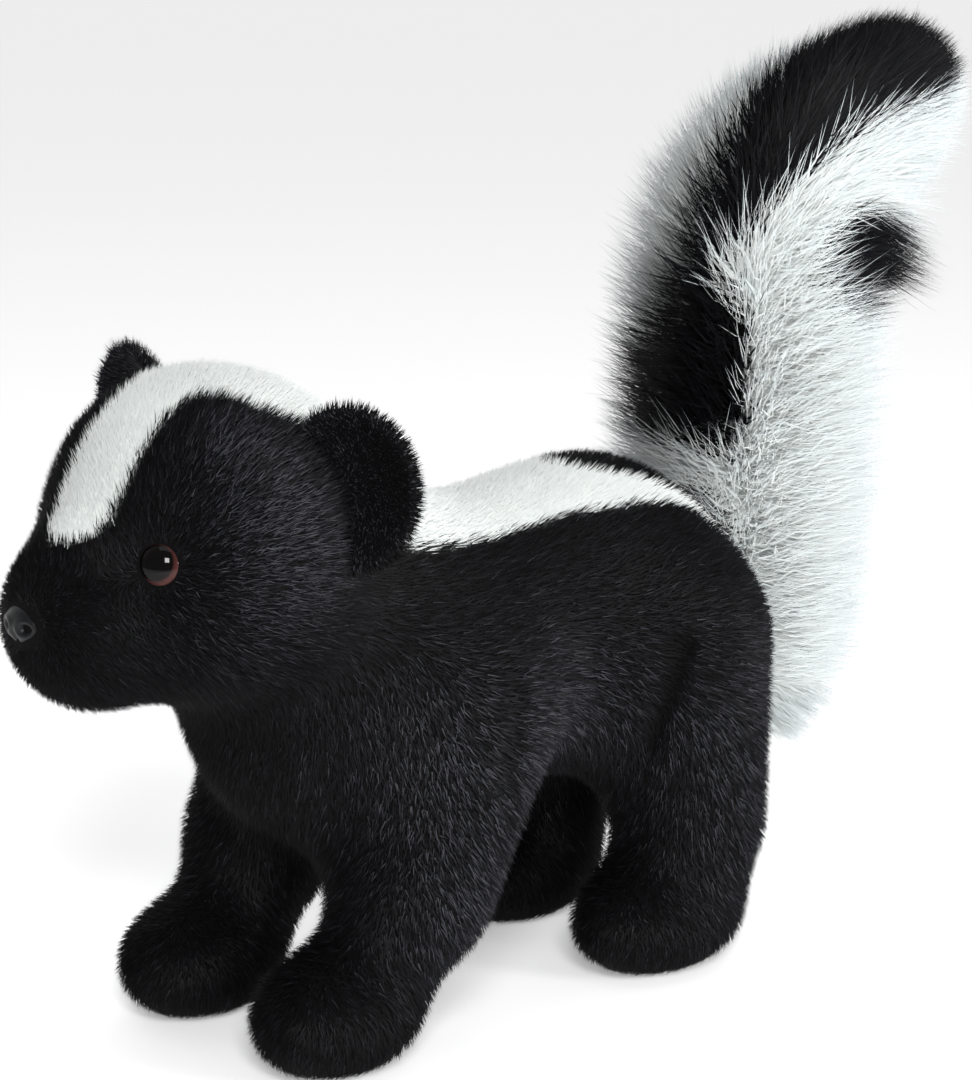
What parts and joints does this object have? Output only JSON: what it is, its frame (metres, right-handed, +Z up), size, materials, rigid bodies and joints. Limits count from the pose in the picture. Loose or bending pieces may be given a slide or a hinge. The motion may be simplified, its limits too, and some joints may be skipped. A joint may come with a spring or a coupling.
{
  "type": "plush toy skunk",
  "caption": "Stuffed plush toy of a black and white striped skunk standing on all fours, with its long-haired bushy tail raised.",
  "frame": {"origin": "on the floor, under the middle of the toy's bounding box", "axes": "+Z up, -Y the way the toy faces, +X to the toy's left"},
  "size_m": [0.1212, 0.3214, 0.2575],
  "materials": {
    "short_pile": "short black plush pile with white stripes",
    "long_pile": "long loose plush pile, white with a black band along the back",
    "eye_plastic": "glossy dark dome with a reddish brown rim",
    "nose_plastic": "satin dark grey"
  },
  "bodies": {
    "root": {"ear_left": "short_pile", "ear_right": "short_pile", "eye_left": "eye_plastic", "eye_right": "eye_plastic", "head": "short_pile", "leg_front_left": "short_pile", "leg_front_right": "short_pile", "leg_hind_left": "short_pile", "leg_hind_right": "short_pile", "neck": "short_pile", "nose": "nose_plastic", "tail": "long_pile", "torso": "short_pile"}
  },
  "joints": []
}
